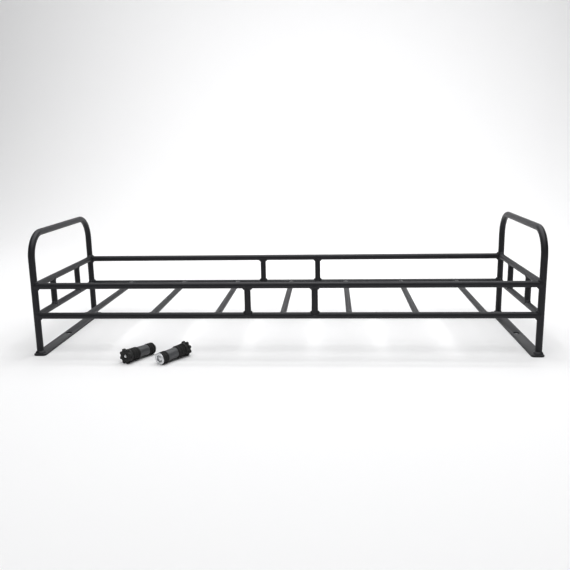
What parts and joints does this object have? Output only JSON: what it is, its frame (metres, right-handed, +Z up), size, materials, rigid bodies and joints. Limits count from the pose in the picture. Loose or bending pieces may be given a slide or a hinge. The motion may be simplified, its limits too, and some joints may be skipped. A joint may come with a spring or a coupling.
{
  "type": "cargo bed rack",
  "caption": "Welded round-tube cargo rack: arched end hoops on foot bars, twin side rails, cross slats and posts, with loose knob-tightened rubber expansion anchors.",
  "frame": {"origin": "on the floor, midway between the anchor holes of the two foot bars", "axes": "+X along the rack to its right end, +Y to the rear away from the loose anchors, +Z up"},
  "size_m": [1.512, 0.6025, 0.374],
  "materials": {
    "black_powder_coat": "satin black powder coat with a fine texture",
    "black_rubber": "matt moulded rubber",
    "black_plastic": "moulded plastic with a faint sheen",
    "grey_tube": "mottled dark grey phosphated steel",
    "zinc_plate": "bright zinc plating"
  },
  "bodies": {
    "root": {"hoop_left": "black_powder_coat", "hoop_right": "black_powder_coat", "foot_bar_left": "black_powder_coat", "foot_bar_right": "black_powder_coat", "front_lower_rail": "black_powder_coat", "front_upper_rail": "black_powder_coat", "rear_lower_rail": "black_powder_coat", "rear_upper_rail": "black_powder_coat", "left_lower_end_rail": "black_powder_coat", "left_upper_end_rail": "black_powder_coat", "right_lower_end_rail": "black_powder_coat", "right_upper_end_rail": "black_powder_coat", "slat_1": "black_powder_coat", "slat_2": "black_powder_coat", "slat_3": "black_powder_coat", "slat_4": "black_powder_coat", "slat_5": "black_powder_coat", "slat_6": "black_powder_coat", "slat_7": "black_powder_coat", "front_post_left": "black_powder_coat", "front_post_right": "black_powder_coat", "rear_post_left": "black_powder_coat", "rear_post_right": "black_powder_coat", "left_end_post_front": "black_powder_coat", "left_end_post_rear": "black_powder_coat", "right_end_post_front": "black_powder_coat", "right_end_post_rear": "black_powder_coat"},
    "anchor_left": {"anchor_left_lower_bush": "black_rubber", "anchor_left_sleeve": "grey_tube", "anchor_left_upper_bush": "black_rubber"},
    "anchor_left_washer": {"anchor_left_washer": "black_plastic"},
    "anchor_left_knob": {"anchor_left_knob": "black_plastic", "anchor_left_nut": "zinc_plate"},
    "anchor_left_rod": {"anchor_left_bolt": "zinc_plate", "anchor_left_end_plate": "zinc_plate"},
    "anchor_right": {"anchor_right_lower_bush": "black_rubber", "anchor_right_sleeve": "grey_tube", "anchor_right_upper_bush": "black_rubber"},
    "anchor_right_washer": {"anchor_right_washer": "black_plastic"},
    "anchor_right_knob": {"anchor_right_knob": "black_plastic", "anchor_right_nut": "zinc_plate"},
    "anchor_right_rod": {"anchor_right_bolt": "zinc_plate", "anchor_right_end_plate": "zinc_plate"}
  },
  "joints": [
    {"name": "anchor_left_lift", "type": "slide", "parent": "root", "child": "anchor_left", "axis": [0, -0.7071, 0.7071], "range_m": [0, 0.4]},
    {"name": "anchor_left_washer_slide", "type": "slide", "parent": "anchor_left", "child": "anchor_left_washer", "axis": [0.4996, 0.8654, -0.0378], "range_m": [0, 0.003], "deforming": ["anchor_left_upper_bush"]},
    {"name": "anchor_left_knob_turn", "type": "hinge", "parent": "anchor_left_washer", "child": "anchor_left_knob", "pos_m": [-0.44349, -0.28853, 0.021], "axis": [0.4996, 0.8654, -0.0378], "range_deg": [0, 1440]},
    {"name": "anchor_left_rod_slide", "type": "slide", "parent": "anchor_left", "child": "anchor_left_rod", "axis": [-0.4996, -0.8654, 0.0378], "range_m": [0, 0.003], "deforming": ["anchor_left_lower_bush"]},
    {"name": "anchor_right_lift", "type": "slide", "parent": "root", "child": "anchor_right", "axis": [0, -0.7071, 0.7071], "range_m": [0, 0.4]},
    {"name": "anchor_right_washer_slide", "type": "slide", "parent": "anchor_right", "child": "anchor_right_washer", "axis": [-0.5399, -0.8409, -0.0378], "range_m": [0, 0.003], "deforming": ["anchor_right_upper_bush"]},
    {"name": "anchor_right_knob_turn", "type": "hinge", "parent": "anchor_right_washer", "child": "anchor_right_knob", "pos_m": [-0.29877, -0.23475, 0.021], "axis": [-0.5399, -0.8409, -0.0378], "range_deg": [0, 1440]},
    {"name": "anchor_right_rod_slide", "type": "slide", "parent": "anchor_right", "child": "anchor_right_rod", "axis": [0.5399, 0.8409, 0.0378], "range_m": [0, 0.003], "deforming": ["anchor_right_lower_bush"]}
  ],
  "couplings": [
    {"joint": "anchor_left_knob_turn", "follows": "anchor_left_washer_slide", "rad_per_m": 8377.6},
    {"joint": "anchor_left_rod_slide", "follows": "anchor_left_washer_slide", "ratio": 1},
    {"joint": "anchor_right_knob_turn", "follows": "anchor_right_washer_slide", "rad_per_m": 8377.6},
    {"joint": "anchor_right_rod_slide", "follows": "anchor_right_washer_slide", "ratio": 1}
  ]
}
